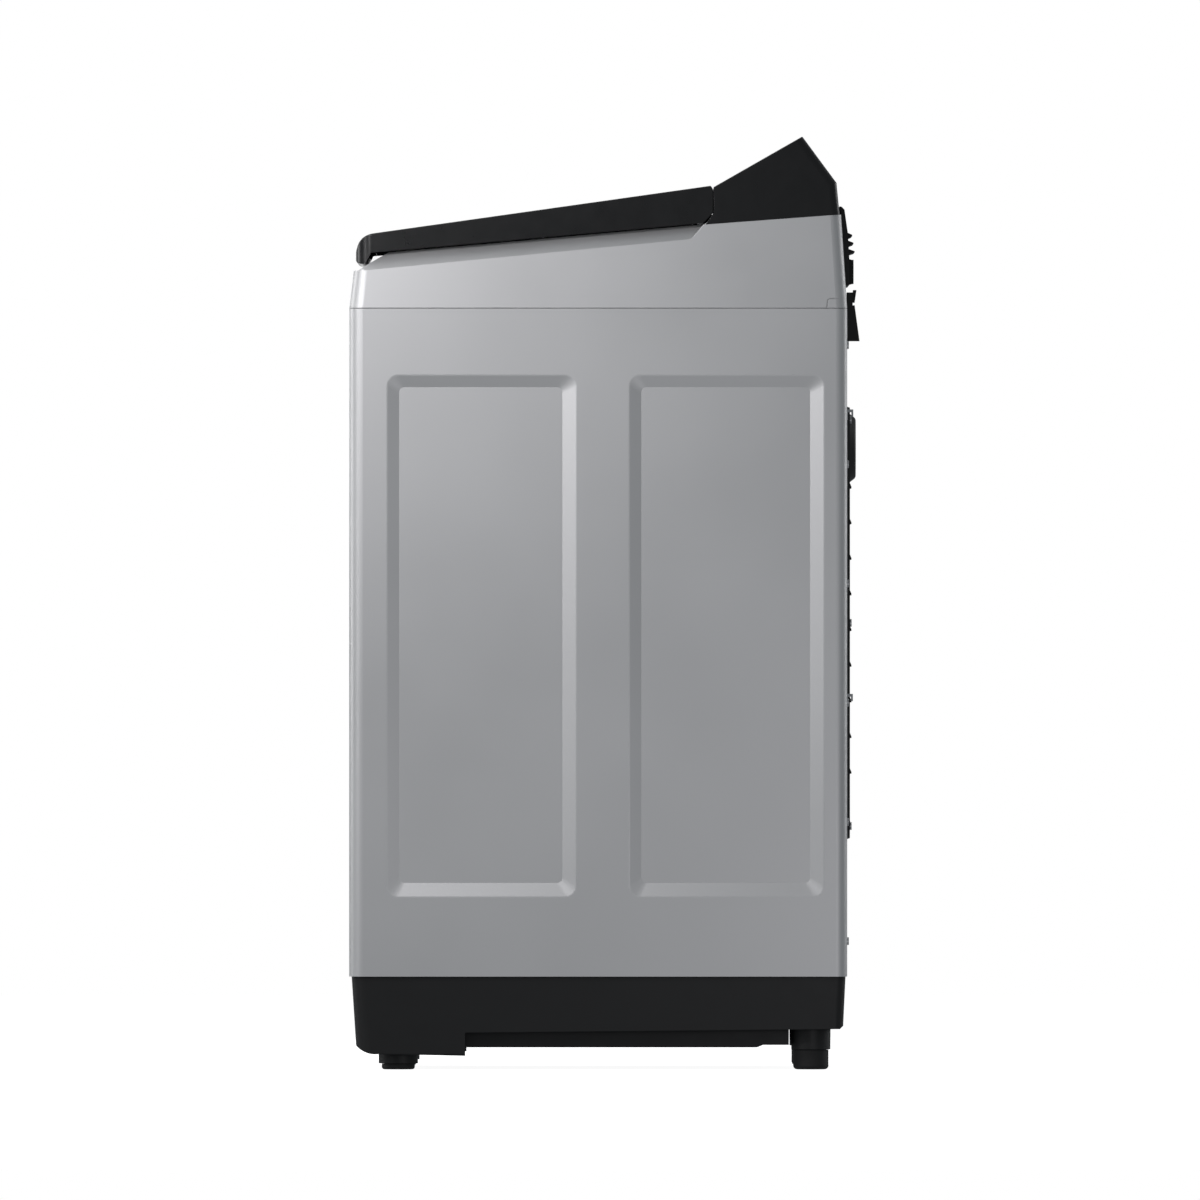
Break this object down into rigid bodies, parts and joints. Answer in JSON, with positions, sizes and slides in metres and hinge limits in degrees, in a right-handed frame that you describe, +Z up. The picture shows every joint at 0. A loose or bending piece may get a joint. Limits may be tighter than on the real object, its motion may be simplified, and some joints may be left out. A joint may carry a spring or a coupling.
{
  "type": "top load washing machine",
  "caption": "Upright washing machine with a sloping hinged glass lid, raised rear console, pressed side panels, hanging tub, spin drum, pulsator and levelling feet.",
  "frame": {"origin": "on the floor at the middle of the machine's bounding box", "axes": "+Z up, -Y towards the front (the lid's grip edge), +X the right-hand side of a person facing the front"},
  "size_m": [0.54, 0.557, 1.017],
  "materials": {
    "cabinet_steel": "satin silver-grey paint",
    "galvanised_steel": "zinc-coated sheet",
    "cover_plastic": "satin silver-grey moulding",
    "black_plastic": "fine-grained black moulding",
    "console_plastic": "satin black moulding",
    "panel_gloss": "gloss black overlay",
    "display_lens": "smoked lens",
    "lid_glass": "tinted tempered glass",
    "tub_plastic": "off-white polypropylene",
    "white_plastic": "white moulding",
    "drum_steel": "brushed stainless steel",
    "pulsator_plastic": "pale grey moulding",
    "filter_plastic": "blue-grey moulding with a fine mesh",
    "shaft_steel": "ground steel",
    "cast_aluminium": "die-cast",
    "motor_iron": "laminated iron with copper windings",
    "button_plastic": "satin grey keycap",
    "circuit_board": "green laminate",
    "rubber": "black rubber",
    "seal_rubber": "dark grey rubber",
    "clip_plastic": "pale grey moulding",
    "spring_steel": "spring wire"
  },
  "bodies": {
    "frame": {"cabinet": "cabinet_steel", "rear_panel": "galvanised_steel", "rear_service_cover": "black_plastic", "base": "black_plastic", "bottom_cover": "black_plastic", "corner_brackets": "galvanised_steel", "suspension_rods": "shaft_steel", "top_cover": "cover_plastic", "console_housing": "console_plastic", "control_panel": "panel_gloss", "display_window": "display_lens", "display_board": "circuit_board", "rear_control_cover": "black_plastic", "inlet_valves": "black_plastic", "fill_hose": "seal_rubber", "dispenser_housing": "white_plastic", "main_board": "circuit_board", "lid_lock": "white_plastic", "lid_bumpers": "rubber", "lid_damper": "black_plastic", "drain_outlet": "black_plastic", "hose_clips": "clip_plastic", "power_cord_gland": "black_plastic", "pressure_sensor": "white_plastic", "cabinet_screws": "shaft_steel"},
    "tub": {"outer_tub": "tub_plastic", "tub_cover": "tub_plastic", "tub_frame": "galvanised_steel", "clutch_housing": "cast_aluminium", "stator": "motor_iron", "drain_pump": "white_plastic", "tub_seal": "seal_rubber", "drum_bearings": "shaft_steel", "drain_hose": "seal_rubber", "suspension_springs": "spring_steel"},
    "drum": {"basket_wall": "drum_steel", "basket_base": "tub_plastic", "balance_ring": "white_plastic", "drum_shaft": "shaft_steel", "filter_frame": "pulsator_plastic"},
    "lint_filter": {"lint_filter": "filter_plastic"},
    "pulsator": {"pulsator": "pulsator_plastic", "pulsator_screw": "drum_steel", "pulsator_shaft": "shaft_steel", "rotor": "motor_iron"},
    "lid": {"lid_frame": "console_plastic", "lid_glass": "lid_glass", "lid_inner_frame": "console_plastic", "lid_hinge_pins": "shaft_steel"},
    "detergent_drawer": {"detergent_drawer": "white_plastic"},
    "foot_front_left": {"levelling_foot_front_left": "rubber"},
    "foot_front_right": {"levelling_foot_front_right": "rubber"},
    "foot_rear_left": {"levelling_foot_rear_left": "rubber"},
    "foot_rear_right": {"levelling_foot_rear_right": "rubber"},
    "power_button": {"power_button": "button_plastic"},
    "start_button": {"start_button": "button_plastic"},
    "course_button": {"course_button": "button_plastic"},
    "water_button": {"water_button": "button_plastic"},
    "spin_button": {"spin_button": "button_plastic"}
  },
  "joints": [
    {"name": "lid_hinge", "type": "hinge", "parent": "frame", "child": "lid", "pos_m": [0, 0.1103, 0.9575], "axis": [-1, 0, 0], "range_deg": [0, 100]},
    {"name": "drawer_slide", "type": "slide", "parent": "frame", "child": "detergent_drawer", "axis": [0, -1, 0], "range_m": [0, 0.105]},
    {"name": "tub_bounce", "type": "slide", "parent": "frame", "child": "tub", "axis": [0, 0, 1], "range_m": [-0.03, 0], "stiffness_N_per_m": 14000, "springref_m": 0.014, "deforming": ["suspension_springs", "drain_hose"]},
    {"name": "drum_spin", "type": "hinge", "parent": "tub", "child": "drum", "pos_m": [0, -0.00675, 0.3], "axis": [0, 0, 1], "continuous": true},
    {"name": "pulsator_spin", "type": "hinge", "parent": "tub", "child": "pulsator", "pos_m": [0, -0.00675, 0.29], "axis": [0, 0, 1], "continuous": true},
    {"name": "filter_release", "type": "slide", "parent": "drum", "child": "lint_filter", "axis": [0, -1, 0], "range_m": [0, 0.03]},
    {"name": "foot_front_left_thread", "type": "slide", "parent": "frame", "child": "foot_front_left", "axis": [0, 0, 1], "range_m": [-0.012, 0]},
    {"name": "foot_front_right_thread", "type": "slide", "parent": "frame", "child": "foot_front_right", "axis": [0, 0, 1], "range_m": [-0.012, 0]},
    {"name": "foot_rear_left_thread", "type": "slide", "parent": "frame", "child": "foot_rear_left", "axis": [0, 0, 1], "range_m": [-0.012, 0]},
    {"name": "foot_rear_right_thread", "type": "slide", "parent": "frame", "child": "foot_rear_right", "axis": [0, 0, 1], "range_m": [-0.012, 0]},
    {"name": "power_button_press", "type": "slide", "parent": "frame", "child": "power_button", "axis": [0, 0.4959, -0.8684], "range_m": [0, 0.0015], "stiffness_N_per_m": 900, "springref_m": -0.001},
    {"name": "start_button_press", "type": "slide", "parent": "frame", "child": "start_button", "axis": [0, 0.4959, -0.8684], "range_m": [0, 0.0015], "stiffness_N_per_m": 900, "springref_m": -0.001},
    {"name": "course_button_press", "type": "slide", "parent": "frame", "child": "course_button", "axis": [0, 0.4959, -0.8684], "range_m": [0, 0.0015], "stiffness_N_per_m": 900, "springref_m": -0.001},
    {"name": "water_button_press", "type": "slide", "parent": "frame", "child": "water_button", "axis": [0, 0.4959, -0.8684], "range_m": [0, 0.0015], "stiffness_N_per_m": 900, "springref_m": -0.001},
    {"name": "spin_button_press", "type": "slide", "parent": "frame", "child": "spin_button", "axis": [0, 0.4959, -0.8684], "range_m": [0, 0.0015], "stiffness_N_per_m": 900, "springref_m": -0.001}
  ]
}
